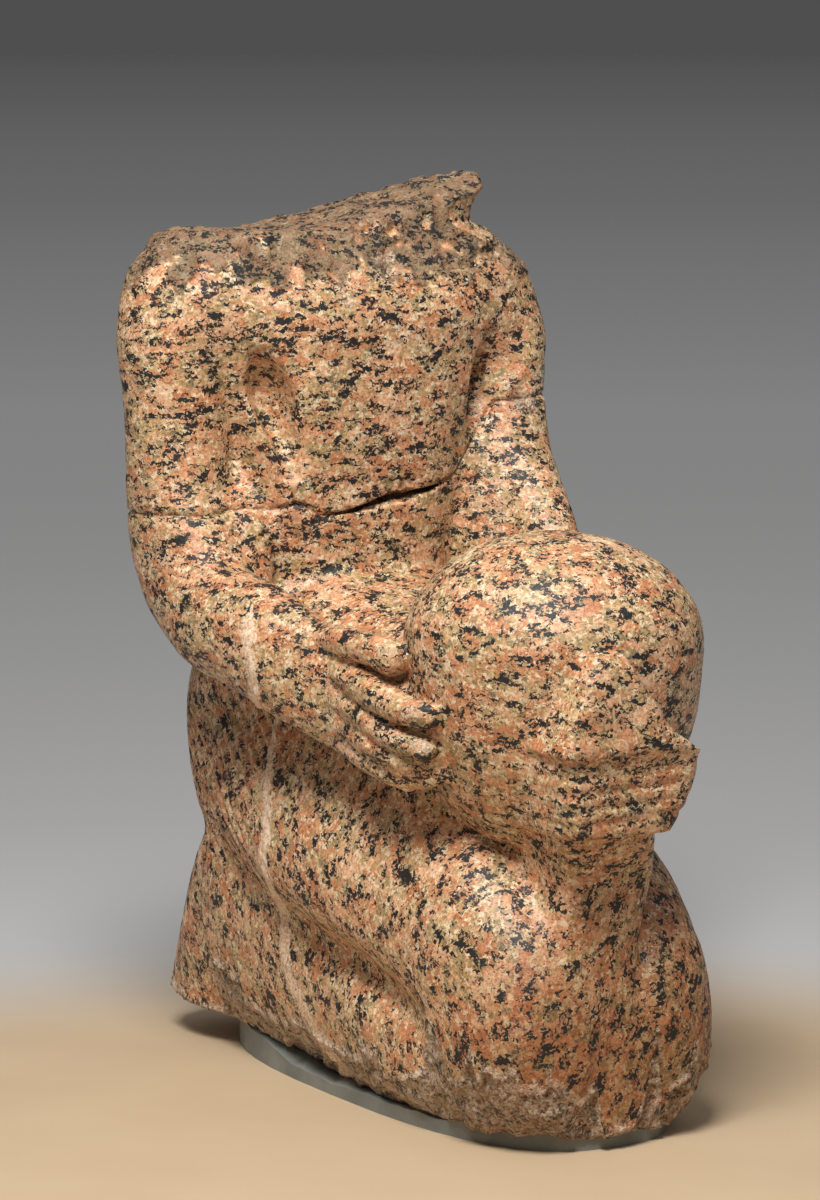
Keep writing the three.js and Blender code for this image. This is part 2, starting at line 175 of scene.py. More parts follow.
torso = Form([
    [120, 0, 146, 70, 60, 44, 2.3],
    [168, 0, 146, 90, 76, 62, 2.4],
    [205, 0, 146, 96, 80, 74, 2.4],
    [246, 0, 146, 97, 80, 76, 2.4],
    [290, 0, 139, 90, 72, 72, 2.4],
    [330, 0, 134, 85, 66, 68, 2.4],
    [372, 0, 131, 83, 64, 66, 2.8],
    [420, 0, 130, 90, 66, 70, 3],
    [470, 0, 130, 102, 69, 75, 3],
    [515, 0, 130, 112, 66, 77, 2.8],
    [550, 0, 131, 112, 56, 70, 2.5],
    [580, 0, 133, 90, 46, 58, 2.2],
    [640, 0, 133, 64, 42, 52, 2.2],
], reach=70.0)


def shoulder(lift, crook):
    """A shoulder and upper arm; the crook of the elbow is left filled with stone."""
    return Form([
        [308, 119, 120, 18, 24, 10, 2.1],
        [324, 120, 126, 26, 42 + crook * 0.3, 20, 2.1],
        [345, 122, 130, 31, 62 + crook * 1.5, 29, 2.2],
        [368, 123, 131, 33, 54 + crook * 1.5, 31, 2.3],
        [395, 124, 132, 33, 42 + crook * 1.25, 31, 2.3],
        [420, 124, 132, 34, 38 + crook * 0.85, 31, 2.2],
        [460, 125, 132, 35, 38 + crook * 0.55, 32, 2.1],
        [500, 127, 132, 37, 40 + crook * 0.24, 35, 2.1],
        [527 + lift * 0.5, 119, 132, 40, 39, 39, 2.1],
        [548 + lift, 107, 132, 40, 35, 38, 2.1],
        [560 + lift, 97, 132, 37, 29, 34, 2.1],
        [570 + lift, 88, 132, 32, 21, 28, 2.1],
        [577 + lift, 78, 132, 20, 12, 18, 2.1],
    ], reach=70.0)


left_shoulder = shoulder(0, 36)
right_shoulder = shoulder(8, 0)

JAR_Y = -154
JAR_RADIUS = 97
JAR_MIDDLE = 318
JAR_DOME = 71
JAR_DEPTH = 128
JAR_FOOT = 42
JAR_STEPS = 14

forearm = Form([
    [-147, 119, 328, 10, 10, 12, 2],
    [-142, 119, 329, 18, 14, 20, 2],
    [-130, 120, 328, 25, 22, 26, 2.1],
    [-112, 121, 323, 30, 29, 32, 2.2],
    [-80, 122, 315, 33, 36, 37, 2.2],
    [-40, 118, 308, 32, 38, 38, 2.2],
    [8, 112, 295, 28, 39, 38, 2.3],
    [48, 105, 281, 18, 37, 36, 2.3],
    [82, 97, 270, 13, 34, 30, 2.3],
    [110, 92, 260, 12, 30, 26, 2.3],
    [132, 88, 254, 9, 24, 22, 2.2],
], forward=True, reach=70.0)

palm = Form([
    [50, 90, 277, 20, 28, 30, 2.4],
    [70, 91, 275, 22, 31, 33, 2.6],
    [100, 93, 269, 20, 34, 30, 2.8],
    [128, 94, 259, 15, 31, 26, 2.8],
    [146, 91, 252, 11, 25, 23, 2.8],
    [156, 87, 250, 8, 18, 19, 2.6],
], forward=True)

thigh = Form([
    [-150, 50, 205, 44, 46, 40, 2.4],
    [-110, 51, 187, 54, 48, 64, 2.2],
    [-50, 52, 160, 61, 44, 84, 2.0],
    [10, 52, 145, 60, 40, 86, 2.0],
    [70, 51, 132, 55, 38, 81, 2.0],
    [125, 51, 121, 48, 54, 72, 2.0],
    [165, 50, 104, 46, 74, 79, 2.1],
    [198, 47, 79, 42, 75, 79, 2.1],
    [222, 43, 68, 36, 62, 65, 2.1],
    [234, 39, 64, 24, 44, 42, 2],
    [239, 38, 62, 10, 20, 18, 2],
], forward=True)
calf = Form([
    [-205, 47, 60, 30, 62, 28, 2.4],
    [-190, 48, 70, 38, 72, 46, 2.4],
    [-150, 50, 92, 42, 80, 60, 2.4],
    [-100, 52, 88, 43, 80, 50, 2.4],
    [-30, 52, 78, 44, 70, 44, 2.4],
    [50, 52, 62, 45, 60, 38, 2.4],
    [120, 50, 50, 45, 50, 34, 2.4],
    [200, 46, 48, 38, 46, 46, 2.4],
], forward=True)
foot = Form([
    [-4, 46, 190, 44, 50, 50, 2.5],
    [38, 46, 188, 43, 50, 49, 2.5],
    [75, 47, 176, 42, 50, 47, 2.5],
    [122, 47, 164, 40, 50, 42, 2.4],
    [150, 47, 156, 36, 46, 32, 2.3],
    [170, 47, 148, 26, 38, 18, 2.2],
])
lap = Form([
    [-190, 0, 150, 40, 150, 20, 3],
    [-150, 0, 150, 84, 150, 60, 3],
    [-100, 0, 200, 91, 200, 140, 3],
    [-70, 0, 200, 90, 200, 140, 3],
    [-30, 0, 200, 83, 200, 130, 3],
    [10, 0, 200, 79, 200, 122, 3],
    [60, 0, 190, 76, 190, 128, 3],
    [95, 0, 170, 74, 170, 110, 3],
    [130, 0, 140, 72, 140, 80, 2.8],
    [175, 0, 110, 62, 110, 66, 2.6],
    [208, 0, 90, 40, 90, 70, 2.4],
], forward=True)


def jar_rows():
    rows = []
    for i in range(-JAR_STEPS, 1):
        angle = i / JAR_STEPS * np.pi / 2
        radius = JAR_FOOT + (JAR_RADIUS - JAR_FOOT) * np.cos(angle) ** 1.3
        rows.append([JAR_MIDDLE + np.sin(angle) * JAR_DEPTH, 0, JAR_Y, radius, radius, radius, 2])
    return rows


jar_body = Form(jar_rows())


def jar(x, y, z):
    """The round jar: a low dome over a body that narrows to the lap."""
    out = np.hypot(x, y - JAR_Y)
    rise = np.maximum(z - JAR_MIDDLE, 0)
    q = np.maximum(np.hypot(out / JAR_RADIUS, rise / JAR_DOME), 1e-6)
    dome = (q - 1) * q / np.hypot(out / JAR_RADIUS ** 2, rise / JAR_DOME ** 2)
    return np.where(z > JAR_MIDDLE, dome, jar_body(x, y, z))


PILLAR_FRONT = -256
PILLAR_BACK = -165
PILLAR_HALF = 53
HEAD_LOW = 207
HEAD_HIGH = 257
HEAD_TAPER = 0.26
HEAD_SHIFT = 6
BARS = 5


def pillar_row(z, x, half, behind, power):
    reach = (PILLAR_BACK - PILLAR_FRONT - behind) / 2
    return [z, x, PILLAR_FRONT + behind + reach, half, reach, reach, power]


shaft = Form([
    pillar_row(0, -2, 46, 16, 3),
    pillar_row(60, -4, 43, 19, 3),
    pillar_row(100, -8, 36, 24, 3.6),
    pillar_row(120, -9, 33, 26, 4),
    pillar_row(145, -7, 35, 27, 4),
    pillar_row(176, -2, 37, 26, 4),
    pillar_row(196, -5, 37, 18, 4),
    pillar_row(212, -8, 37, 10, 3.5),
])


def head_rows():
    """The pillar's head, narrower below, and the face above it that runs up to the jar."""
    rows = []
    for i in range(BARS):
        share = i / (BARS - 1)
        half = PILLAR_HALF * (1 - HEAD_TAPER * (1 - share) ** 1.7)
        x = -HEAD_SHIFT - (PILLAR_HALF - half) * 0.54
        height = HEAD_LOW + (HEAD_HIGH - HEAD_LOW) * share * 0.94
        rows.append(pillar_row(height, x, half, -4.5 + 0.8 * (1 - share), 8))
    rows.append(pillar_row(HEAD_HIGH, -HEAD_SHIFT, PILLAR_HALF, -6.5, 8))
    # Height, left edge, right edge and distance behind the face, up to the front of the jar: a lip
    # above the bars, then a ridge that leaves the jar on the right
    for z, left, right, behind in [
        (261, -62, 40, -8), (268, -60, 30, -8), (276, -57, 20, -7), (288, -52, 12, -7),
        (298, -47, 4, -6), (310, -41, -4, -5), (322, -36, -12, 0),
    ]:
        rows.append(pillar_row(z, (left + right) / 2, (right - left) / 2, behind, 10))
    return rows


pillar_head = Form(head_rows())
headdress = Form([
    [540, 0, TORSO_Y + 4, 86, 38, 60, 3],
    [578, 0, TORSO_Y + 4, 102, 42, 62, 3],
    [612, 0, TORSO_Y + 4, 121, 44, 64, 3],
    [660, 0, TORSO_Y + 4, 136, 48, 66, 3],
])
right_armpit = Form([
    [408, 63, 68, 4, 10, 9, 2],
    [430, 68, 70, 9, 26, 18, 2],
    [450, 75, 72, 12, 34, 24, 2],
    [472, 82, 73, 13, 30, 22, 2],
    [494, 89, 70, 5, 12, 11, 2],
])
left_armpit = Form([
    [396, 84, 70, 3, 8, 4, 2],
    [430, 86, 73, 6, 18, 8, 2],
    [450, 88, 76, 9, 30, 17, 2],
    [470, 90, 76, 9, 32, 19, 2],
    [488, 94, 74, 6, 20, 12, 2],
    [500, 98, 70, 3, 8, 6, 2],
])


# Stone left standing between each upper arm and the ribs, below the hollow of the armpit
right_web = Form([
    [318, 92, 130, 18, 60, 30, 2.6],
    [350, 90, 130, 20, 54, 30, 2.6],
    [380, 89, 130, 18, 44, 30, 2.6],
    [402, 89, 130, 13, 30, 30, 2.6],
    [420, 90, 130, 8, 14, 20, 2.4],
])
left_web = Form([
    [318, 94, 130, 22, 74, 30, 2.6],
    [350, 92, 130, 22, 72, 30, 2.6],
    [385, 91, 130, 20, 64, 30, 2.6],
    [420, 91, 130, 17, 54, 30, 2.6],
    [448, 92, 130, 12, 36, 24, 2.4],
    [468, 93, 130, 7, 14, 16, 2.2],
])


def furrow(x, y, z):
    """The furrow of the spine, deepest between the shoulder blades."""
    depth = 6 * bump(x, 13) * ramp(250, 330, z) * (1 - ramp(540, 580, z))
    return np.where(y < TORSO_Y, 0, depth)


# Each finger: x, y, z and radius from the knuckle to the tip
FINGERS = [
    [(106, -50, 298, 10), (109, -104, 287, 10.5), (106, -140, 280, 10), (99, -161, 277, 8.5)],
    [(107, -50, 281, 9), (109, -104, 269, 9), (106, -138, 259, 8.5), (99, -157, 255, 7.5)],
    [(106, -50, 266, 8.5), (108, -102, 254, 8.5), (104, -132, 246, 8), (98, -145, 241, 7)],
    [(104, -50, 251, 8), (105, -94, 241, 8), (102, -119, 235, 7.5), (96, -131, 230, 6.5)],
    [(104, -30, 312, 11), (106, -68, 313.5, 11.5), (104, -98, 313, 10.5), (98, -114, 309, 12.5)],
]
FINGER_CUTS = 3     # straight pieces between two of these places


def finger_pieces(places):
    """Short straight pieces along the smooth path through the places."""
    p = np.array(places, float)
    p = np.vstack([2 * p[0] - p[1], p, 2 * p[-1] - p[-2]])
    points = []
    for i in range(1, len(p) - 2):
        for t in np.arange(FINGER_CUTS) / FINGER_CUTS:
            points.append(0.5 * (
                2 * p[i] + (p[i + 1] - p[i - 1]) * t
                + (2 * p[i - 1] - 5 * p[i] + 4 * p[i + 1] - p[i + 2]) * t * t
                + (3 * p[i] - p[i - 1] - 3 * p[i + 1] + p[i + 2]) * t ** 3
            ))
    points.append(p[-2])
    return list(zip(points, points[1:]))


FINGER_PIECES = [finger_pieces(places) for places in FINGERS]


def fingers(side, y, z):
    """Distance to the nearest finger, with grooves left between neighbours."""
    out = np.full(side.shape, 26.0)
    near = (side > 66) & (side < 146) & (y > -196) & (y < -6) & (z > 200) & (z < 350)
    if not near.any():
        return out
    p = np.stack([side[near], y[near], z[near]], axis=1)
    whole = None
    for pieces in FINGER_PIECES:
        one = np.full(len(p), 60.0)
        for a, b in pieces:
            run = b[:3] - a[:3]
            t = np.clip((p - a[:3]) @ run / (run @ run), 0, 1)
            gone = np.linalg.norm(p - a[:3] - t[:, None] * run, axis=1)
            one = np.minimum(one, gone - (a[3] + t * (b[3] - a[3])))
        whole = one if whole is None else blend(whole, one, 2.0)
    out[near] = whole
    return out


def stone(x, y, z):
    """The figure, the jar and the pillar before anything broke off."""
    side = np.abs(x)
    shoulders = np.where(x < 0, right_shoulder(side, y, z), left_shoulder(side, y, z))
    lower = blend(forearm(side, y, z), palm(side, y, z), 10)
    arm = blend(shoulders, lower, 16)
    fill = 14 + 40 * ramp(455, 530, z) + 12 * (1 - ramp(350, 390, z))
    d = blend(torso(x, y, z) + furrow(x, y, z), arm, fill)
    d = blend(d, np.where(x < 0, right_web(side, y, z), left_web(side, y, z)), 14)
    d = hollow(d, np.where(x < 0, right_armpit(side, y, z), left_armpit(side, y, z)) - 1.5, 6)
    d = blend(d, headdress(x, y, z), 4)
    leg = blend(thigh(side, y, z), calf(side, y, z), 20)
    leg = blend(leg, foot(side, y, z), 12)
    leg = blend(leg, lap(x, y, z), 20)
    d = blend(d, leg, 11)
    d = blend(d, jar(x, y, z), 8)
    # The shaft has a crest on its left-hand side and runs softly into the knee on the other.
    d = blend(d, shaft(x, y, z), 4 + 8 * ramp(15, -15, x))
    d = blend(d, pillar_head(x, y, z), 3)
    return blend(d, fingers(side, y, z), 3)


# Broken faces

def hashed(i, j, k, seed):
    """A number from 0 to 1 for each lattice point, the same on every run."""
    n = (i * 73856093) ^ (j * 19349663) ^ (k * 83492791) ^ (seed * 2654435761)
    n = (n ^ (n >> 13)) * 1274126177
    return ((n ^ (n >> 16)) & 0xFFFF) / 65535.0


def grain(p, size, seed):
    """Smooth noise from -1 to 1 with lumps of this size."""
    q = p / size
    base = np.floor(q).astype(np.int64)
    f = q - base
    f = f * f * (3 - 2 * f)
    total = 0
    for corner in range(8):
        step = np.array([corner & 1, corner >> 1 & 1, corner >> 2])
        weight = np.prod(np.where(step, f, 1 - f), axis=1)
        total = total + weight * hashed(*(base + step).T, seed)
    return total * 2 - 1


def fracture(p):
    """The height of broken granite in mm: it parts along the faces of its grains."""
    warped = p + 2.5 * np.stack([grain(p, 9, s) for s in (11, 12, 13)], axis=1)
    steps = 1 - 2 * np.abs(grain(warped, 17, 21))
    flakes = 1 - 2 * np.abs(grain(warped, 7.5, 22))
    return 1.5 * steps + 1.0 * flakes + 0.5 * grain(p, 3.4, 23) + 0.9 * grain(p, 26, 24)


# The old break at the waist: across, height, and share of its full opening. It climbs to the left arm.
BREAK_X = [-140, -97, -70, -56, -46, -32, 2, 20, 40, 58, 66, 104, 148]
BREAK_Z = [384, 386, 386, 389, 381, 382, 388, 391, 395, 399, 402, 452, 457]
BREAK_OPEN = [0, 0, 0, 0, 0, 0.4, 0.9, 1, 0.65, 0, 0, 0, 0]


def crack_height(x, y):
    """Where the old break crosses the waist."""
    flat = np.stack([x, y, 0 * x], axis=1)
    return np.interp(x, BREAK_X, BREAK_Z) + 1.2 * grain(flat, 24, 31) + 0.9 * grain(flat, 7, 32)


# The vein of pale feldspar lies in a plane across the figure: height, how far back it is where x is
# zero, and its thickness as a share of what it measures from front to back
VEIN_Z = [20, 26, 54, 76, 112, 155, 181, 219, 277, 293, 322]
VEIN_Y = [66, 73, 109, 131, 139, 151, 151, 155, 144, 146, 153]
VEIN_THIN = [0.42, 0.42, 0.5, 0.6, 0.66, 0.68, 0.68, 0.68, 0.68, 0.68, 0.68]


def from_vein(p):
    """Distance from the middle of the vein in mm; it shows on the right side only."""
    x, y, z = p.T
    away = np.abs(y - 1.08 * x - np.interp(z, VEIN_Z, VEIN_Y) + 3 * grain(p, 16, 84))
    strength = ramp(-52, -66, x) * ramp(336, 318, z) * (1 - 0.55 * bump(z - 238, 20))
    return away * np.interp(z, VEIN_Z, VEIN_THIN) / np.maximum(strength, 0.02)


class Heights:
    """Heights over the plan, read from the broken faces of the solid."""

    STEP = 4.0

    def __init__(self, points, faces, from_above):
        tree = BVHTree.FromPolygons(points.tolist(), faces.tolist())
        low, high = points[:, :2].min(0) - 8, points[:, :2].max(0) + 8
        self.low = low
        self.count = np.ceil((high - low) / self.STEP).astype(int) + 1
        start, way = (900.0, -1.0) if from_above else (-300.0, 1.0)
        grid = np.full(self.count, np.nan)
        for i, j in np.ndindex(*self.count):
            x, y = low + self.STEP * np.array([i, j])
            hit = tree.ray_cast(Vector((x, y, start)), Vector((0, 0, way)))
            if hit[0] is not None:
                grid[i, j] = hit[0].z
        known = np.argwhere(~np.isnan(grid))
        for i, j in np.argwhere(np.isnan(grid)):
            nearest = known[((known - (i, j)) ** 2).sum(axis=1).argmin()]
            grid[i, j] = grid[tuple(nearest)]
        self.grid = grid

    def __call__(self, x, y):
        u = np.clip((x - self.low[0]) / self.STEP, 0, self.count[0] - 1.001)
        v = np.clip((y - self.low[1]) / self.STEP, 0, self.count[1] - 1.001)
        i, j = u.astype(int), v.astype(int)
        s, t = u - i, v - j
        g = self.grid
        return (
            g[i, j] * (1 - s) * (1 - t) + g[i + 1, j] * s * (1 - t)
            + g[i, j + 1] * (1 - s) * t + g[i + 1, j + 1] * s * t
        )


def node_arrays(name, unit):
    """A node's corners in mm of the drawing, and its triangles."""
    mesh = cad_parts[name].data
    mesh.calc_loop_triangles()
    points = np.empty(len(mesh.vertices) * 3)
    mesh.vertices.foreach_get("co", points)
    faces = np.empty(len(mesh.loop_triangles) * 3, dtype=np.int32)
    mesh.loop_triangles.foreach_get("vertices", faces)
    return points.reshape(-1, 3) / (MM * unit), faces.reshape(-1, 3)


def broken_faces(unit):
    """The heights of the broken top and underside of the solid."""
    points, faces = node_arrays("statue", unit)
    middle = points[faces].mean(axis=1)
    inside = stone(*middle.T) < -1.0
    top = Heights(points, faces[inside & (middle[:, 2] > 545)], True)
    under = Heights(points, faces[inside & (middle[:, 2] < 70)], False)
    return top, under


def polygonise(field, low, high, cell):
    """The surface where the field is zero, as points and quads."""
    import openvdb

    block = 4
    low, high = np.array(low, float), np.array(high, float)
    count = (np.ceil((high - low) / (cell * block)).astype(int) + 1) * block
    axes = [low[i] + cell * np.arange(count[i]) for i in range(3)]
    coarse = np.meshgrid(*[a[block // 2::block] for a in axes], indexing="ij")
    rough = field(*[c.ravel() for c in coarse]).reshape(coarse[0].shape)
    values = rough.repeat(block, 0).repeat(block, 1).repeat(block, 2)
    close = np.abs(values) < cell * block * 1.5
    i, j, k = np.nonzero(close)
    values[close] = field(axes[0][i], axes[1][j], axes[2][k])
    grid = openvdb.FloatGrid(background=30.0)
    grid.copyFromArray(values.astype(np.float32))
    points, quads = grid.convertToQuads(isovalue=0.0)
    return low + points.astype(float) * cell, quads.astype(np.int64)


def draw_to_skin(points, field, passes):
    """Moves points a little way to where the field is zero."""
    step = 0.4
    for _ in range(passes):
        here = field(*points.T)
        slope = np.empty_like(points)
        for axis in range(3):
            shift = np.zeros(3)
            shift[axis] = step
            slope[:, axis] = field(*(points + shift).T) - field(*(points - shift).T)
        slope /= 2 * step
        steep = np.maximum((slope ** 2).sum(axis=1), 0.3)
        points = points + slope * np.clip(-here / steep, -2, 2)[:, None]
    return points


def normals_of(points, faces):
    """Unit normals at the points of a mesh of quads."""
    a, b, c, d = (points[faces[:, i]] for i in range(4))
    across = np.cross(c - a, d - b)
    total = np.zeros_like(points)
    for i in range(4):
        np.add.at(total, faces[:, i], across)
    return total / np.maximum(np.linalg.norm(total, axis=1), 1e-9)[:, None]


# Places on the stone that took harm: x, y, z, radius in mm, and depth of the loss
CHIPS = [
    (22, 81, 573, 8, 6.5), (25, 74, 561, 6, 3.5), (10, 66, 396, 9, 2.6),
    (24, 66, 398, 8, 2.4), (128, 70, 455, 17, 2.6), (150, 93, 457, 9, 3.4),
    (156, 95, 479, 7, 3.0), (153, 95, 422, 8, 2.6), (145, 88, 441, 8, 2.0),
    (112, 74, 478, 12, 2.0), (117, 72, 453, 9, 2.0), (103, 55, 406, 8, 2.0),
    (118, 60, 430, 11, 2.0), (-103, -166, 275, 8, 2.4), (-101, -160, 256, 7, 2.2),
    (-101, -148, 240, 6, 1.6), (-60, -250, 250, 8, 1.6), (50, -252, 252, 7, 1.2),
]
# Pale bruised patches: x, y, z, radius
SCARS = [
    (8, 68, 552, 22), (-21, 80, 592, 18), (14, 66, 527, 12), (-29, 64, 528, 12), (122, 66, 452, 26),
    (144, 86, 466, 22), (93, 60, 427, 12), (150, 95, 425, 12), (-106, -152, 276, 14),
    (-103, -158, 258, 11), (-102, -142, 240, 10), (24, -240, 292, 14), (34, -256, 258, 12),
    (-52, -256, 256, 12),
]


class Figure:
    """The broken figure with all that shows on its surface."""

    def __init__(self, unit, settings):
        self.top, self.under = broken_faces(unit)
        self.settings = settings

    def whole(self, x, y, z):
        """The stone with its broken faces and the open part of the joint at the waist."""
        skin = stone(x, y, z)
        d = np.maximum(skin, z - self.top(x, y))
        d = np.maximum(d, self.under(x, y) - z)
        opening = self.opening(x, y)
        joint = np.abs(z - crack_height(x, y)) - opening / 2
        joint = np.maximum(joint, -(skin + 3 + 10 * ramp(-40, 5, x)))
        return np.maximum(d, -np.where(opening > 1, joint, 9))

    def opening(self, x, y):
        share = np.interp(x, BREAK_X, BREAK_OPEN) * ramp(30, 50, y) * (1 - ramp(76, 110, y))
        return self.settings.joint_opening * share

    def broken(self, p):
        """1 on the broken faces, 0 on the carved skin."""
        x, y, z = p.T
        skin = stone(x, y, z)
        edge = 1.4 * grain(p, 6, 41)
        near_top = ramp(3.5, 1.2, self.top(x, y) - z + edge) * ramp(500, 540, z)
        near_under = ramp(3.5, 1.2, z - self.under(x, y) + edge) * ramp(100, 70, z)
        inside_joint = ramp(2, 5, -skin) * bump(z - crack_height(x, y), 12)
        return np.clip(near_top + near_under + inside_joint, 0, 1)

    def relief(self, p, broken):
        """How far the surface stands out from the smooth forms, in mm."""
        x, y, z = p.T
        set_ = self.settings
        worn = 0.35 * grain(p, 13, 51) + 0.22 * grain(p, 6, 52) + 0.5 * grain(p, 34, 53)
        out = worn * (1 - broken) + set_.fracture_relief * (fracture(p) - 0.6) * broken
        for cx, cy, cz, radius, depth in CHIPS:
            ragged = distance_to((cx, cy, cz), p) + 0.25 * radius * grain(p, 6, 61)
            out -= depth * ramp(radius * 1.15, radius * 0.5, ragged) * (0.8 + 0.3 * grain(p, 5, 62))
        out += bump(from_vein(p), 4.5) * (0.7 + 1.5 * grain(p, 5.5, 63))
        crumbled = ramp(10, 3, z - self.under(x, y)) * ramp(100, 70, z) * (1 - broken)
        out += 1.1 * crumbled * grain(p, 4.5, 64)
        out -= self.groove(p) * (1 - broken)
        return out

    def groove(self, p):
        """Carved and worn lines: the joint at the waist, the bars and the pleats."""
        x, y, z = p.T
        set_ = self.settings
        waist = ramp(2.4, 0.4, np.abs(z - crack_height(x, y)))
        open_here = ramp(0.5, 3, self.opening(x, y))
        depth = set_.joint_depth * waist * (1 - open_here) * ramp(30, 50, y)
        bar = (z - 0.03 * x - HEAD_LOW - 1) / (HEAD_HIGH - HEAD_LOW - 1) * BARS
        on_head = ramp(-222, -234, y) * ramp(0.2, 0.6, bar) * ramp(BARS + 0.5, BARS + 0.1, bar)
        on_head *= ramp(42, 26, x) * (0.8 + 0.4 * grain(p, 15, 73))
        depth += set_.bar_relief * on_head * (0.5 + 0.5 * np.cos(2 * np.pi * bar)) ** 2
        depth += set_.pleat_relief * self.pleats(p)
        return depth

    def pleats(self, p):
        """The fine pleats of the kilt over the hips, worn away towards the knees."""
        x, y, z = p.T
        across = (z - 0.78 * y) / 1.27 + 1.5 * grain(p, 24, 71)
        wave = 0.5 + 0.5 * np.cos(2 * np.pi * across / self.settings.pleat_spacing)
        worn = 0.3 * ramp(0, 40, y) + 0.7 * ramp(52, 64, y)
        hip = ramp(70, 84, np.abs(x)) * ramp(195, 165, y) * worn
        height = ramp(122, 140, z) * ramp(258, 238, z)
        return wave ** 2 * hip * height * (0.75 + 0.35 * grain(p, 20, 72))

    def marks(self, p):
        """Values for the stone's colours, each from 0 to 1 or a distance in mm."""
        x, y, z = p.T
        broken = self.broken(p)
        scar = np.zeros(len(p))
        for cx, cy, cz, radius in SCARS:
            ragged = distance_to((cx, cy, cz), p) + 0.3 * radius * grain(p, 9, 81)
            scar = np.maximum(scar, ramp(radius * 1.2, radius * 0.4, ragged))
        lower_edge = ramp(13, 5, z - self.under(x, y) + 5 * grain(p, 12, 82)) * ramp(100, 70, z)
        upper_edge = ramp(7, 1, self.top(x, y) - z + 3 * grain(p, 8, 83)) * ramp(500, 540, z)
        edges = np.maximum(1.15 * lower_edge, 0.6 * upper_edge * (1 - broken))
        scar = np.maximum(scar, edges)
        waist = np.abs(z - crack_height(x, y)) / np.maximum(ramp(30, 50, y), 0.05)
        return {"broken": broken, "scar": scar, "vein": from_vein(p), "joint": waist}


def new_mesh_object(name, points, faces):
    mesh = bpy.data.meshes.new(name)
    size = faces.shape[1]
    mesh.vertices.add(len(points))
    mesh.vertices.foreach_set("co", points.astype(np.float32).ravel())
    mesh.loops.add(faces.size)
    mesh.loops.foreach_set("vertex_index", faces.astype(np.int32).ravel())
    mesh.polygons.add(len(faces))
    mesh.polygons.foreach_set("loop_start", np.arange(0, faces.size, size, dtype=np.int32))
    mesh.polygons.foreach_set("use_smooth", np.ones(len(faces), dtype=bool))
    mesh.update(calc_edges=True)
    made = bpy.data.objects.new(name, mesh)
    bpy.context.scene.collection.objects.link(made)
    return made


def apply_modifiers(made):
    """Leaves the object with the mesh that its modifiers make."""
    graph = bpy.context.evaluated_depsgraph_get()
    mesh = bpy.data.meshes.new_from_object(made.evaluated_get(graph))
    made.modifiers.clear()
    old = made.data
    made.data = mesh
    bpy.data.meshes.remove(old)


# Materials

def add(tree, kind, inputs=None, out=0, stops=None, **settings):
    """Adds a node with its settings and links, and gives back one or more of its outputs."""
    made = tree.nodes.new("ShaderNode" + kind)
    for name, value in settings.items():
        setattr(made, name, value)
    if stops:
        elements = made.color_ramp.elements
        while len(elements) < len(stops):
            elements.new(1.0)
        for element, (position, shade) in zip(elements, stops):
            element.position = position
            element.color = (*shade, 1.0)
    for name, value in (inputs or {}).items():
        if isinstance(value, bpy.types.NodeSocket):
            tree.links.new(value, made.inputs[name])
        else:
            made.inputs[name].default_value = value
    if isinstance(out, tuple):
        return [made.outputs[each] for each in out]
    return made.outputs[out] if made.outputs else None


def emptied(holder):
    """Turns on the nodes of a material or world and clears them; answers with what adds a node."""
    holder.use_nodes = True
    holder.node_tree.nodes.clear()
    return partial(add, holder.node_tree)


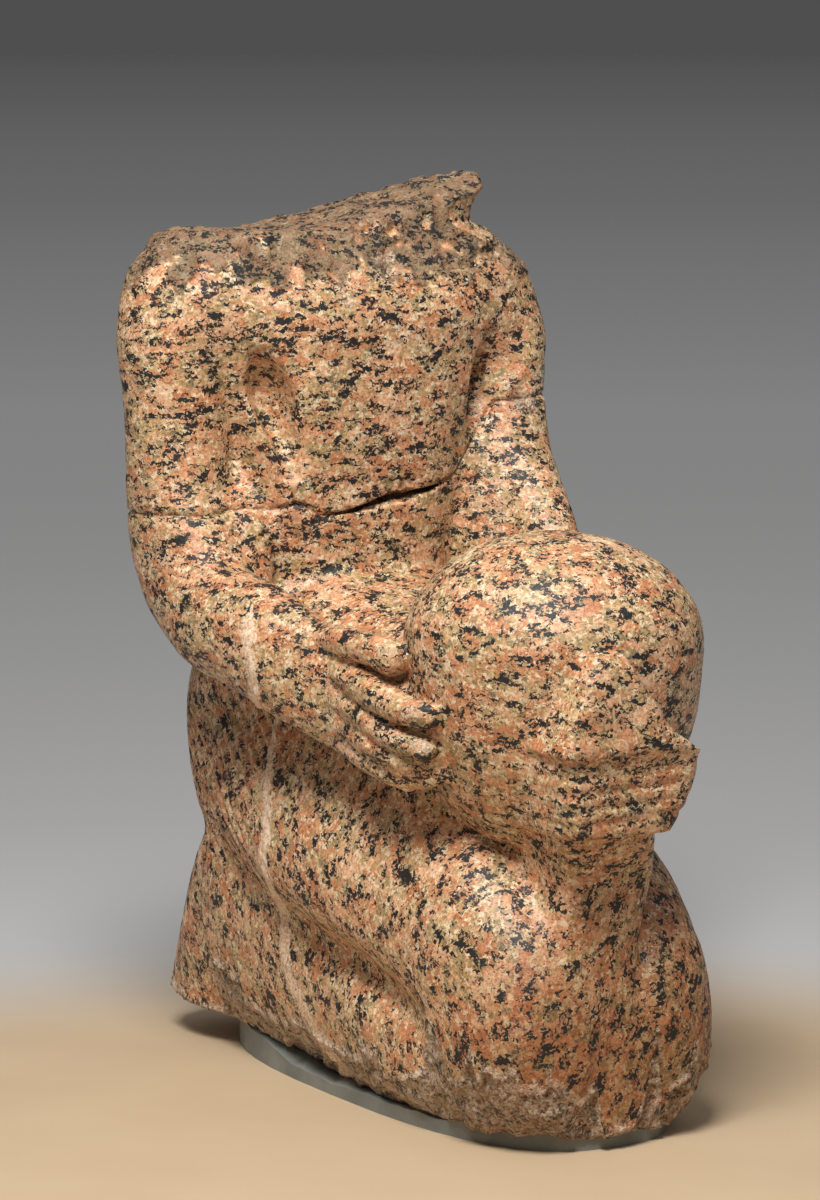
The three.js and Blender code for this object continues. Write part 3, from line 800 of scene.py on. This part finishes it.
def granite_worn_hammered(set_):
    """Coarse red granite, hammered and rubbed by hand, then worn: salmon feldspars in a cream,
    tan and grey-green ground, black mica in ragged strings, a soft gloss on the skin and a dry,
    sugary look on the broken faces."""
    material = bpy.data.materials.new("granite_worn_hammered")
    n = emptied(material)
    per_mm = 1 / MM

    # The layers of the stone lie level in the chest, the jar and the pillar's head, and turn in two
    # steps to stand at 56 degrees in the legs, falling forward and to the figure's right.
    place = n("TexCoord", out="Object")
    _, y, z = n("SeparateXYZ", {0: place}, (0, 1, 2))
    bend = n("TexNoise", {"Vector": place, "Scale": 22.0, "Detail": 2.0})
    depth = n("Math", {0: y, 1: -0.27, 2: z}, operation="MULTIPLY_ADD")
    depth = n("Math", {0: bend, 1: 0.06, 2: depth}, operation="MULTIPLY_ADD")
    turn = n("MapRange", {
        "Value": depth, "From Min": 0.32, "From Max": 0.25, "To Max": np.radians(56), "Steps": 2.0},
        interpolation_type="STEPPED")
    layers = n("VectorRotate", {"Vector": place, "Axis": (-0.74, 0.67, 0.0), "Angle": turn})

    # Grain outlines are ragged at 1 mm and wavy at 4 mm.
    shake = n("TexNoise", {"Vector": place, "Scale": per_mm / 2.6, "Detail": 2.0}, "Color")
    shake = n("VectorMath", {0: shake, 1: (0.5, 0.5, 0.5)}, operation="SUBTRACT")
    sway = n("TexNoise", {"Vector": place, "Scale": per_mm / 9.0, "Detail": 3.0}, "Color")
    sway = n("VectorMath", {0: sway, 1: (0.5, 0.5, 0.5)}, operation="SUBTRACT")
    ragged = n("VectorMath", {0: shake, 1: (0.006, 0.006, 0.006), 2: layers}, operation="MULTIPLY_ADD")
    flat = n("VectorMath", {0: ragged, 1: (1.0, 1.0, 1.35)}, operation="MULTIPLY")
    wavy = n("VectorMath", {0: sway, 1: (0.020, 0.020, 0.016), 2: flat}, operation="MULTIPLY_ADD")
    mottle = n("TexNoise", {"Vector": flat, "Scale": per_mm / 6.0, "Detail": 4.0, "Roughness": 0.72})
    fine = n("TexNoise", {"Vector": place, "Scale": per_mm / 2.2, "Detail": 2.0, "Roughness": 0.7})

    # Large feldspars, and the small grains of the ground between them
    large = n("TexVoronoi", {"Vector": wavy, "Scale": per_mm / set_.feldspar_mm}, "Color")
    kind, tone, _ = n("SeparateColor", {0: large}, (0, 1, 2))
    small = n("TexVoronoi", {"Vector": flat, "Scale": per_mm / set_.ground_mm}, "Color")
    small_kind, small_tone, _ = n("SeparateColor", {0: small}, (0, 1, 2))
    share = n("Math", {0: kind, 1: 0.9}, operation="MULTIPLY")
    share = n("Math", {0: mottle, 1: 1.4, 2: share}, operation="MULTIPLY_ADD")
    share = n("Math", {0: fine, 1: 0.5, 2: share}, operation="MULTIPLY_ADD")
    share = n("MapRange", {
        "Value": share, "From Min": set_.ground_threshold, "From Max": set_.ground_threshold + 0.12})
    warmth = n("Math", {0: mottle, 1: 0.7}, operation="MULTIPLY")
    warmth = n("Math", {0: tone, 1: 0.25, 2: warmth}, operation="MULTIPLY_ADD")
    warmth = n("Math", {0: fine, 1: 0.25, 2: warmth}, operation="MULTIPLY_ADD")
    pink = n("ValToRGB", {0: warmth}, stops=[
        (0.36, set_.orange), (0.50, set_.salmon), (0.61, set_.pink), (0.78, set_.pale_pink)])
    pick = n("Math", {0: mottle, 1: 0.5}, operation="MULTIPLY")
    pick = n("Math", {0: small_kind, 1: 0.45, 2: pick}, operation="MULTIPLY_ADD")
    pick = n("Math", {0: fine, 1: 0.3, 2: pick}, operation="MULTIPLY_ADD")
    ground = n("ValToRGB", {0: pick}, stops=[
        (0.40, set_.quartz), (0.52, set_.tan), (0.62, set_.tan), (0.72, set_.cream),
        (0.80, set_.pink), (0.90, set_.pale_pink)])
    base = n("Mix", {0: share, 6: pink, 7: ground}, 2, data_type="RGBA")
    lone = n("Math", {0: fine, 1: 0.5, 2: small_tone}, operation="MULTIPLY_ADD")
    lone = n("MapRange", {"Value": lone, "From Min": 1.08, "From Max": 1.12, "To Max": 0.8})
    base = n("Mix", {0: lone, 6: base, 7: (*set_.pale_grain, 1)}, 2, data_type="RGBA")

    # Brown dirt sits in the finest pits between the grains, and crystal faces differ in brightness.
    grit = n("MapRange", {
        "Value": fine, "From Min": 0.32, "From Max": 0.68, "To Min": 0.76, "To Max": 1.18})
    base = n("HueSaturation", {"Color": base, "Value": grit})
    pore = n("MapRange", {"Value": fine, "From Min": 0.37, "From Max": 0.31, "To Max": 0.6})
    base = n("Mix", {0: pore, 6: base, 7: (*set_.joint_dirt, 1)}, 2, data_type="RGBA")

    # Black mica: small flakes that gather in strings along the layers
    thin = n("VectorMath", {0: ragged, 1: (1.0, 1.0, 2.1)}, operation="MULTIPLY")
    flake_place, flake = n("TexVoronoi", {
        "Vector": thin, "Scale": per_mm / set_.mica_mm}, ("Position", "Color"))
    flake_tone, flake_grey, _ = n("SeparateColor", {0: flake}, (0, 1, 2))
    gather = n("TexNoise", {
        "Vector": flake_place, "Scale": per_mm / 13.0, "Detail": 4.0, "Roughness": 0.68})
    chance = n("Math", {0: flake_tone, 1: 0.16, 2: gather}, operation="MULTIPLY_ADD")
    mica = n("MapRange", {
        "Value": chance, "From Min": set_.mica_threshold, "From Max": set_.mica_threshold + 0.010})
    speck = n("TexVoronoi", {"Vector": thin, "Scale": per_mm / 1.6}, "Color")
    speck, _, _ = n("SeparateColor", {0: speck}, (0, 1, 2))
    speck = n("Math", {0: gather, 1: 0.8, 2: speck}, operation="MULTIPLY_ADD")
    speck = n("MapRange", {"Value": speck, "From Min": 1.33, "From Max": 1.35, "To Max": 0.9})
    dark = n("Math", {0: mica, 1: speck}, operation="MAXIMUM")
    haze = n("MapRange", {
        "Value": chance, "From Min": set_.mica_threshold - 0.08, "From Max": set_.mica_threshold,
        "To Max": 0.35})
    base = n("Mix", {0: haze, 6: base, 7: (*set_.haze, 1)}, 2, data_type="RGBA")

    # Broken and bruised stone is paler, because its grains are crushed white.
    broken = n("Attribute", out="Fac", attribute_name="broken")
    scar = n("Attribute", out="Fac", attribute_name="scar")
    crushed = n("Math", {0: mottle, 1: 1.3, 2: scar}, operation="MULTIPLY_ADD")
    crushed = n("Math", {0: fine, 1: 0.9, 2: crushed}, operation="MULTIPLY_ADD")
    crushed = n("MapRange", {"Value": crushed, "From Min": 1.95, "From Max": 2.45, "To Max": 0.75})
    base = n("Mix", {0: crushed, 6: base, 7: (*set_.bruise, 1)}, 2, data_type="RGBA")
    hidden = n("Math", {0: crushed, 1: -0.8, 2: 1.0}, operation="MULTIPLY_ADD")
    # The broken faces are darkened towards dark brown: partly old dirt on the breaks, partly painted
    # shade that darkens the broken top.
    grime_and_shade = n("Math", {0: broken, 1: 0.7}, operation="MULTIPLY")
    grime_and_shade = n("Math", {0: grime_and_shade, 1: hidden}, operation="MULTIPLY")
    base = n("Mix", {0: grime_and_shade, 6: base, 7: (*set_.broken_grime_and_shade, 1)}, 2, data_type="RGBA")
    dark = n("Math", {0: dark, 1: hidden}, operation="MULTIPLY")
    black = n("Mix", {0: flake_grey, 6: (*set_.mica, 1), 7: (*set_.mica_grey, 1)}, 2, data_type="RGBA")
    colour = n("Mix", {0: dark, 6: base, 7: black}, 2, data_type="RGBA")

    # The vein of pale pink feldspar down the right arm and hip
    vein = n("Attribute", out="Fac", attribute_name="vein")
    vein = n("Math", {0: mottle, 1: 9.0, 2: vein}, operation="MULTIPLY_ADD")
    vein = n("Math", {0: small_tone, 1: 3.0, 2: vein}, operation="MULTIPLY_ADD")
    vein = n("MapRange", {"Value": vein, "From Min": 10.6, "From Max": 9.4, "To Max": 0.9})
    vein_colour = n("ValToRGB", {0: fine}, stops=[
        (0.36, set_.pink), (0.47, set_.pale_pink), (0.55, set_.bruise)])
    colour = n("Mix", {0: vein, 6: colour, 7: vein_colour}, 2, data_type="RGBA")

    # The front below the jar is darkened brown: partly a brown stain, partly painted shade under the
    # jar and the pillar's head.
    stain_and_shade = n("Math", {0: z, 1: 0.5, 2: y}, operation="MULTIPLY_ADD")
    stain_and_shade = n("MapRange", {"Value": stain_and_shade, "From Min": -0.12, "From Max": -0.20, "To Max": 0.8})
    stain_and_shade = n("Math", {0: stain_and_shade, 1: hidden}, operation="MULTIPLY")
    colour = n("Mix", {0: stain_and_shade, 6: colour, 7: (*set_.brown_stain_and_shade, 1)}, 2,
               data_type="RGBA", blend_type="MULTIPLY")

    # Dirt in the old joint at the waist
    joint = n("Attribute", out="Fac", attribute_name="joint")
    joint = n("Math", {0: fine, 1: 1.2, 2: joint}, operation="MULTIPLY_ADD")
    joint = n("MapRange", {"Value": joint, "From Min": 1.9, "From Max": 0.9, "To Max": 0.6})
    colour = n("Mix", {0: joint, 6: colour, 7: (*set_.joint_dirt, 1)}, 2, data_type="RGBA")

    # The rubbed skin shines softly, the mica more, the broken faces hardly at all.
    gloss = n("Math", {0: fine, 1: 0.22, 2: set_.skin_roughness - 0.11}, operation="MULTIPLY_ADD")
    gloss = n("Math", {0: dark, 1: 0.10, 2: gloss}, operation="MULTIPLY_ADD")
    harm = n("Math", {0: broken, 1: crushed}, operation="MAXIMUM")
    gloss = n("Math", {0: harm, 1: 0.22, 2: gloss}, operation="MULTIPLY_ADD", use_clamp=True)

    # Pits and grain edges of a fraction of a millimetre; mica has weathered a little deeper
    pits = n("Math", {0: mottle, 1: 1.1, 2: fine}, operation="MULTIPLY_ADD")
    pits = n("Math", {0: dark, 1: -0.3, 2: pits}, operation="MULTIPLY_ADD")
    rough = n("Math", {0: harm, 1: 1.6, 2: 1.0}, operation="MULTIPLY_ADD")
    pits = n("Math", {0: pits, 1: rough}, operation="MULTIPLY")
    relief = n("Bump", {"Height": pits, "Strength": 0.8, "Distance": set_.pit_mm * MM})
    skin = n("BsdfPrincipled", {
        "Base Color": colour, "Roughness": gloss, "IOR": 1.54, "Normal": relief})
    n("OutputMaterial", {"Surface": skin})
    return material


def mortar_cast_smoothed(set_):
    """Grey repair mortar, cast under the stone and smoothed by hand: matt, slightly cloudy, with
    faint trowel marks along its wall."""
    material = bpy.data.materials.new("mortar_cast_smoothed")
    n = emptied(material)
    place = n("TexCoord", out="Object")
    clouds = n("TexNoise", {"Vector": place, "Scale": 1 / (38 * MM), "Detail": 4.0, "Roughness": 0.6})
    level = n("VectorMath", {0: place, 1: (0.35, 0.35, 1.6)}, operation="MULTIPLY")
    trowel = n("TexNoise", {"Vector": level, "Scale": 1 / (9 * MM), "Detail": 3.0, "Roughness": 0.55})
    sand = n("TexNoise", {"Vector": place, "Scale": 1 / (1.4 * MM), "Detail": 2.0})
    tone = n("MapRange", {"Value": clouds, "From Min": 0.3, "From Max": 0.7})
    colour = n("Mix", {0: tone, 6: (*set_.mortar_dark, 1), 7: (*set_.mortar, 1)}, 2, data_type="RGBA")
    height = n("Math", {0: trowel, 1: 0.7}, operation="MULTIPLY")
    height = n("Math", {0: sand, 1: 0.25, 2: height}, operation="MULTIPLY_ADD")
    relief = n("Bump", {"Height": height, "Strength": 0.7, "Distance": 0.6 * MM})
    rough = n("MapRange", {"Value": trowel, "To Min": 0.5, "To Max": 0.72})
    skin = n("BsdfPrincipled", {"Base Color": colour, "Roughness": rough, "IOR": 1.5, "Normal": relief})
    n("OutputMaterial", {"Surface": skin})
    return material


def floor_painted_matt(set_):
    """A matt floor: a warm pool of colour under the object, light grey round it, darker far off. The
    greys by distance are painted light and shade for the falloff of the studio light.
    """
    material = bpy.data.materials.new("floor_painted_matt")
    n = emptied(material)
    place = n("TexCoord", out="Object")
    far = n("VectorMath", {0: place, 1: tuple(-AHEAD * 0.35)}, "Value", operation="DISTANCE")
    # One tenfold step of the distance from 0.35 m to 350 m is a third of the ramp.
    share = n("Math", {0: far, 1: 10.0}, operation="LOGARITHM")
    share = n("MapRange", {"Value": share, "From Min": -0.456, "From Max": 2.544})
    # Painted light and shade: the grey is lightest 3 to 6 m off and darkens far off, as the studio
    # light falls off.
    grey = n("ValToRGB", {0: share}, stops=[
        (0.195, set_.floor_near), (0.30, set_.floor_middle), (0.41, set_.floor_far),
        (0.57, set_.floor_farther), (0.755, set_.floor_distant), (1.0, set_.floor_edge)])
    cloud = n("TexNoise", {"Vector": place, "Scale": 9.0, "Detail": 3.0})
    warm = n("Mix", {
        0: cloud, 6: (*set_.floor_warm, 1), 7: (*set_.floor_warm_light, 1)}, 2, data_type="RGBA")
    pool = n("MapRange", {
        "Value": far, "From Min": 0.5, "From Max": 0.85}, interpolation_type="SMOOTHSTEP")
    colour = n("Mix", {0: pool, 6: warm, 7: grey}, 2, data_type="RGBA")
    skin = n("BsdfPrincipled", {"Base Color": colour, "Roughness": 0.7})
    n("OutputMaterial", {"Surface": skin})
    return material


# Settings

def colour(name, hexed, description):
    return FloatVectorProperty(name=name, description=description, subtype="COLOR", size=3,
                               min=0, max=1, default=linear(hexed))


def millimetres(name, default, least, most, description):
    return FloatProperty(name=name, description=f"{description}, in mm", default=default,
                         min=least, max=most)


class StoneSettings(PropertyGroup):
    cell_mm: millimetres("Step", 1.8, 1.5, 6, "Step of the stone's mesh before it is thinned")
    most_faces: IntProperty(name="Triangles", description="Most triangles kept in the stone",
                            default=196000, min=20000, max=199000)
    fracture_relief: FloatProperty(name="Fracture relief", default=1.0, min=0, max=4,
                                   description="Height of the broken faces' lumps, as a multiple")
    joint_opening: millimetres("Joint opening", 7.5, 0, 15, "Widest gap of the old break")
    joint_depth: millimetres("Joint depth", 2.6, 0, 8, "Depth of the thin joint at the waist")
    bar_relief: millimetres("Bar relief", 1.6, 0, 4, "Depth of the grooves between the bars")
    pleat_relief: millimetres("Pleat relief", 2.8, 0, 4, "Depth of the kilt's pleats")
    pleat_spacing: millimetres("Pleat spacing", 8.3, 3, 20, "Distance from pleat to pleat")
    feldspar_mm: millimetres("Feldspar", 13.0, 4, 60, "Size of the large pink grains")
    ground_mm: millimetres("Ground grains", 3.2, 2, 20, "Size of the grains between them")
    ground_threshold: FloatProperty(name="Feldspar share", default=1.38, min=0.5, max=2.5,
                                    description="Higher gives more large pink grains")
    mica_mm: millimetres("Mica flakes", 2.5, 1, 10, "Size of one black flake")
    mica_threshold: FloatProperty(name="Mica share", description="Lower gives more black mica",
                                  default=0.642, min=0.4, max=1.0)
    pit_mm: millimetres("Pits", 0.55, 0, 3, "Depth of the pits in the skin")
    skin_roughness: FloatProperty(name="Skin roughness", description="Roughness of the rubbed skin",
                                  default=0.46, min=0.05, max=1, subtype="FACTOR")
    pink: colour("Pink feldspar", "#d2986e", "Colour of most large grains")
    pale_pink: colour("Pale feldspar", "#e2bb96", "Lightest large grains and the vein")
    pale_grain: colour("Pale grains", "#e6d3b0", "Single small grains that catch the eye")
    # Painted shade: this tint darkens the front below the jar, for a brown stain and for the shade
    # under the jar.
    brown_stain_and_shade: colour("Brown skin", "#b0906c", "Tint of the stained front")
    salmon: colour("Salmon feldspar", "#c28055", "Deeper pink grains")
    orange: colour("Orange feldspar", "#b07349", "Grains stained by iron")
    cream: colour("Cream feldspar", "#d3bb90", "Small pale grains of the ground")
    tan: colour("Tan feldspar", "#b39262", "Small brown-yellow grains of the ground")
    quartz: colour("Quartz", "#887a5b", "Grey-green glassy grains")
    haze: colour("Clouded ground", "#766750", "Ground darkened by fine mica round the strings")
    mica: colour("Mica", "#0c0b0b", "Black flakes")
    mica_grey: colour("Grey mica", "#211e1c", "Flakes that catch some light")
    bruise: colour("Bruise", "#ead9c4", "Crushed white grains on bruised edges")
    # Partly dirt on the breaks, partly painted shade on the broken top.
    broken_grime_and_shade: colour("Broken stone", "#67523b", "General tone of the broken faces")
    joint_dirt: colour("Joint dirt", "#4a3527", "Dirt in the joint at the waist")


class PadSettings(PropertyGroup):
    mortar: colour("Mortar", "#8b8e88", "Light clouds of the grey mortar")
    mortar_dark: colour("Dark mortar", "#6c706c", "Dark clouds of the grey mortar")


class StageSettings(PropertyGroup):
    floor_warm: colour("Warm floor", "#bba284", "Floor under and near the object")
    floor_warm_light: colour("Light warm floor", "#c6b090", "Lighter clouds of the floor")
    # The greys by distance are painted light and shade for the falloff of the studio light.
    floor_near: colour("Floor near", "#bfbfbf", "Grey floor 1.3 m off")
    floor_middle: colour("Floor at 3 m", "#d1d1d1", "Grey floor 3 m off")
    floor_far: colour("Floor at 6 m", "#d9d9d9", "Grey floor 6 m off")
    floor_farther: colour("Floor at 18 m", "#afafaf", "Grey floor 18 m off")
    floor_distant: colour("Floor at 65 m", "#919191", "Grey floor 65 m off")
    floor_edge: colour("Floor's edge", "#808080", "Grey floor at the horizon")
    horizon: colour("Horizon", "#4f4f4f", "Air behind the floor")
    zenith: colour("Zenith", "#b5b5b5", "Wide soft light overhead")
    key_power: FloatProperty(name="Key light", description="Power of the large soft light",
                             default=52.0, min=0, unit="POWER")
    fill_power: FloatProperty(name="Fill light", description="Power of the weak light opposite",
                              default=1.0, min=0, unit="POWER")
    ambient: FloatProperty(name="Ambient", description="Strength of the light from all round",
                           default=1.0, min=0)


# Operators

class STATUE_OT_stone(Operator):
    """Carves the granite figure again at a fine step and gives it its finish"""
    bl_idname = "statue.stone"
    bl_label = "Granite figure"

    def execute(self, context):
        set_ = context.scene.statue_stone
        low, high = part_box("statue")
        unit = high.z / MM / DRAWN_TOP
        figure = Figure(unit, set_)
        lowest = np.array(low) / (MM * unit) - 6
        highest = np.array(high) / (MM * unit) + 6
        points, faces = polygonise(figure.whole, lowest, highest, set_.cell_mm)
        points = draw_to_skin(points, figure.whole, 2)
        broken = figure.broken(points)
        points = points + normals_of(points, faces) * figure.relief(points, broken)[:, None]
        made = new_mesh_object("granite_figure", points * MM * unit, faces)
        thin = made.modifiers.new("thin", "DECIMATE")
        thin.ratio = min(1.0, set_.most_faces / (2 * len(faces)))
        thin.use_collapse_triangulate = True
        apply_modifiers(made)
        count = len(made.data.vertices)
        kept = np.empty(count * 3, dtype=np.float32)
        made.data.vertices.foreach_get("co", kept)
        for name, values in figure.marks(kept.reshape(-1, 3).astype(float) / (MM * unit)).items():
            layer = made.data.attributes.new(name, "FLOAT", "POINT")
            layer.data.foreach_set("value", values.astype(np.float32))
        made.data.materials.clear()
        made.data.materials.append(granite_worn_hammered(set_))
        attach(made, "root")
        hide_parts("statue")
        return {"FINISHED"}


class STATUE_OT_pad(Operator):
    """Gives the mortar pad under the stone its finish"""
    bl_idname = "statue.pad"
    bl_label = "Mortar pad"

    def execute(self, context):
        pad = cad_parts["support_pad"]
        material = mortar_cast_smoothed(context.scene.statue_pad)
        if not pad.material_slots:
            raise RuntimeError("the pad has no material slot")
        for held in pad.material_slots:
            held.material = material
        return {"FINISHED"}


class STATUE_OT_stage(Operator):
    """Sets the floor, the soft light and the camera"""
    bl_idname = "statue.stage"
    bl_label = "Studio"

    def execute(self, context):
        set_ = context.scene.statue_stage
        scene = context.scene
        angles = np.linspace(0, 2 * np.pi, 96, endpoint=False)
        ring = FLOOR_RADIUS * np.stack([np.cos(angles), np.sin(angles), 0 * angles], axis=1)
        floor = new_mesh_object("floor", ring, np.arange(len(ring))[None, :])
        floor.data.materials.append(floor_painted_matt(set_))

        # The camera stands 3 m off, to the figure's right and a little above it.
        aim = Vector((0.0, TORSO_Y * MM, CAMERA_HEIGHT))
        lens = bpy.data.cameras.new("camera")
        lens.lens = CAMERA_LENS
        lens.sensor_width = 36.0
        lens.clip_end = 3 * FLOOR_RADIUS
        camera = bpy.data.objects.new("camera", lens)
        camera.location = aim - AHEAD * CAMERA_OFF + RIGHT * CAMERA_ASIDE
        camera.rotation_euler = (np.radians(90 - CAMERA_DOWN), 0.0, np.radians(-CAMERA_TURN))
        scene.collection.objects.link(camera)
        scene.camera = camera

        def soft_light(name, power, size, across, back, up, tint):
            data = bpy.data.lights.new(name, "AREA")
            data.energy = power
            data.shape = "SQUARE"
            data.size = size
            data.color = tint
            light = bpy.data.objects.new(name, data)
            middle = Vector((0.0, 0.0, 0.33))
            light.location = middle + RIGHT * across - AHEAD * back + Vector((0, 0, up))
            way = middle - light.location
            light.rotation_euler = way.to_track_quat("-Z", "Y").to_euler()
            scene.collection.objects.link(light)

        soft_light("key", set_.key_power, 0.7, -0.22, 1.12, 1.58, (1.0, 0.98, 0.95))
        soft_light("fill", set_.fill_power, 1.4, 1.9, 1.1, 0.8, (0.95, 0.97, 1.0))

        # The air is dark at the horizon and bright overhead, like a studio with a lit ceiling.
        world = bpy.data.worlds.new("air")
        n = emptied(world)
        way = n("TexCoord", out="Generated")
        _, _, rise = n("SeparateXYZ", {0: way}, (0, 1, 2))
        shade = n("ValToRGB", {0: rise}, stops=[
            (0.0, set_.horizon), (0.35, set_.horizon), (0.90, set_.zenith)])
        air = n("Background", {"Color": shade, "Strength": set_.ambient})
        n("OutputWorld", {"Surface": air})
        scene.world = world
        scene.view_settings.view_transform = "Standard"
        return {"FINISHED"}


class STATUE_PT_panel(Panel):
    bl_idname = "STATUE_PT_panel"
    bl_label = "Kneeling king"
    bl_space_type = "VIEW_3D"
    bl_region_type = "UI"
    bl_category = "Kneeling King"

    def draw(self, context):
        for operator, group in STEPS:
            box = self.layout.box()
            box.operator(operator.bl_idname)
            settings = getattr(context.scene, group)
            for name in settings.__annotations__:
                box.prop(settings, name)


STEPS = [
    (STATUE_OT_stone, "statue_stone"),
    (STATUE_OT_pad, "statue_pad"),
    (STATUE_OT_stage, "statue_stage"),
]
GROUPS = {"statue_stone": StoneSettings, "statue_pad": PadSettings, "statue_stage": StageSettings}
CLASSES = [*GROUPS.values(), STATUE_OT_stone, STATUE_OT_pad, STATUE_OT_stage, STATUE_PT_panel]


def register():
    for cls in CLASSES:
        bpy.utils.register_class(cls)
    for name, cls in GROUPS.items():
        setattr(bpy.types.Scene, name, PointerProperty(type=cls))


def unregister():
    for name in GROUPS:
        delattr(bpy.types.Scene, name)
    for cls in reversed(CLASSES):
        bpy.utils.unregister_class(cls)


def main():
    register()
    bpy.ops.statue.stone()
    bpy.ops.statue.pad()
    bpy.ops.statue.stage()


if __name__ == "__main__":
    main()
